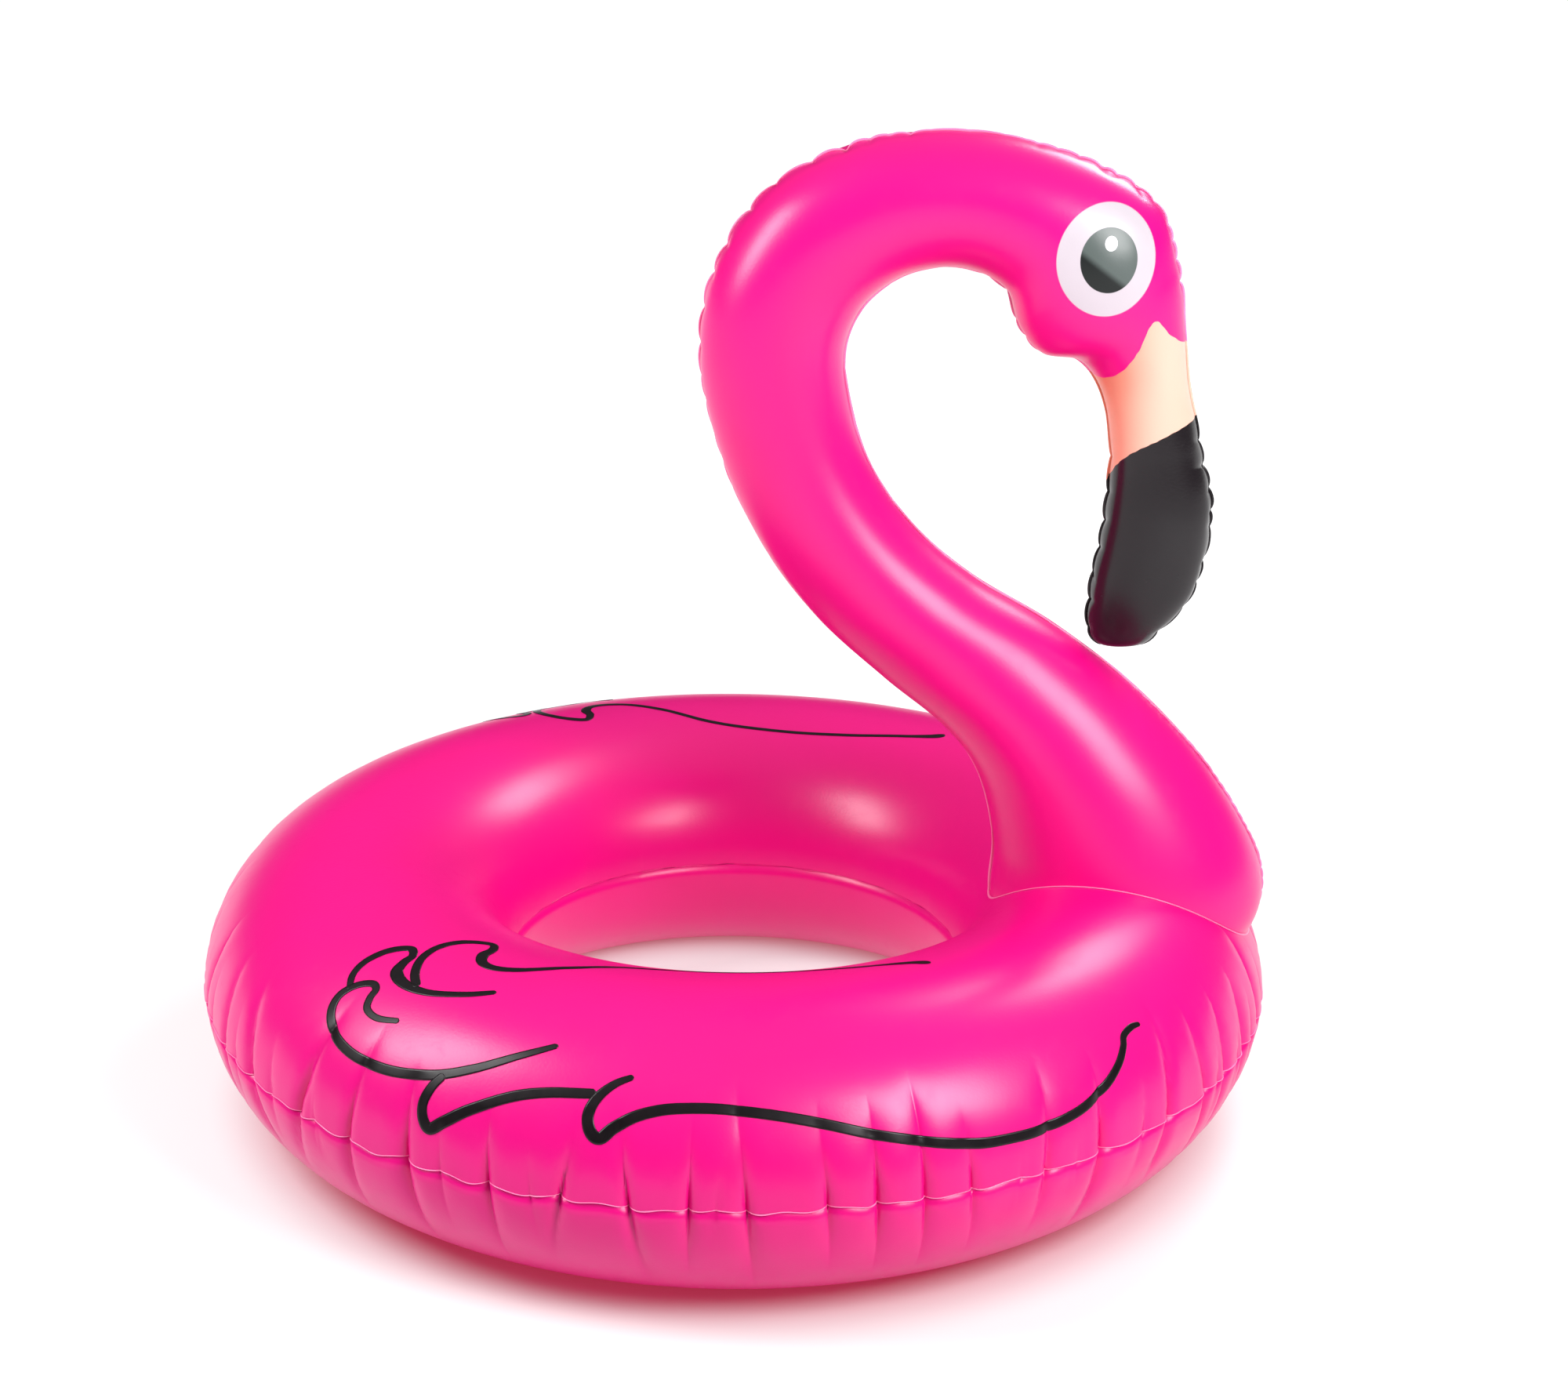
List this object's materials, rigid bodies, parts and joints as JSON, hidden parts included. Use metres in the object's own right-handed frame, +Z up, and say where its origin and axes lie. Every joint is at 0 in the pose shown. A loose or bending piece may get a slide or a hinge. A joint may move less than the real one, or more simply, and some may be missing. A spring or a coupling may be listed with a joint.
{
  "type": "inflatable swim ring with bird neck",
  "caption": "Inflatable swim ring of welded vinyl film with an S-curved bird neck, head and hooked beak standing on its front; a rider sits in the hole.",
  "frame": {"origin": "on the floor under the middle of the ring", "axes": "+X forward, the way the bird faces; +Y to its left; +Z up"},
  "size_m": [1.128, 1.128, 1.0285],
  "materials": {
    "film_pink": "satin",
    "weld_pink": "gloss",
    "valve_vinyl": "satin",
    "stopper_vinyl": "satin"
  },
  "bodies": {
    "ring": {"ring_top_panel": "film_pink", "ring_bottom_panel": "film_pink", "ring_outer_weld": "weld_pink", "ring_inner_weld": "weld_pink", "ring_valve_flange": "valve_vinyl", "ring_valve_web": "valve_vinyl", "neck_foot_cuff": "film_pink", "neck_foot_weld": "weld_pink"},
    "neck": {"neck_left_panel": "film_pink", "neck_right_panel": "film_pink", "neck_profile_weld": "weld_pink", "neck_valve_flange": "valve_vinyl", "neck_valve_web": "valve_vinyl"},
    "ring_valve_stem": {"ring_valve_stem": "valve_vinyl"},
    "ring_valve_stopper": {"ring_valve_stopper": "stopper_vinyl"},
    "ring_valve_check_flap": {"ring_valve_check_flap": "valve_vinyl"},
    "neck_valve_stem": {"neck_valve_stem": "valve_vinyl"},
    "neck_valve_stopper": {"neck_valve_stopper": "stopper_vinyl"},
    "neck_valve_check_flap": {"neck_valve_check_flap": "valve_vinyl"}
  },
  "joints": [
    {"name": "neck_lean", "type": "hinge", "parent": "ring", "child": "neck", "pos_m": [0.413, 0, 0.265], "axis": [0, 1, 0], "range_deg": [-8, 8], "stiffness_Nm_per_rad": 60, "springref_deg": 0.45, "deforming": ["neck_foot_cuff"]},
    {"name": "ring_valve_push", "type": "slide", "parent": "ring", "child": "ring_valve_stem", "axis": [0.1456, 0.8255, 0.5453], "range_m": [0, 0.01], "deforming": ["ring_valve_web"]},
    {"name": "ring_stopper_swing", "type": "hinge", "parent": "ring_valve_stem", "child": "ring_valve_stopper", "pos_m": [-0.04656, -0.26404, 0.23133], "axis": [0.9848, -0.1736, 0], "range_deg": [0, 150]},
    {"name": "ring_check_flap_swing", "type": "hinge", "parent": "ring_valve_stem", "child": "ring_valve_check_flap", "pos_m": [-0.04753, -0.26954, 0.21278], "axis": [-0.9848, 0.1736, 0], "range_deg": [0, 50], "stiffness_Nm_per_rad": 0.002},
    {"name": "neck_valve_push", "type": "slide", "parent": "neck", "child": "neck_valve_stem", "axis": [-0.1497, 0.9864, 0.0678], "range_m": [0, 0.01], "deforming": ["neck_valve_web"]},
    {"name": "neck_stopper_swing", "type": "hinge", "parent": "neck_valve_stem", "child": "neck_valve_stopper", "pos_m": [0.30966, 0.09187, 0.44135], "axis": [0.1672, 0.0928, -0.9816], "range_deg": [0, 150]},
    {"name": "neck_check_flap_swing", "type": "hinge", "parent": "neck_valve_stem", "child": "neck_valve_check_flap", "pos_m": [0.2997, 0.07558, 0.43812], "axis": [-0.1672, -0.0928, 0.9816], "range_deg": [0, 50], "stiffness_Nm_per_rad": 0.002}
  ]
}
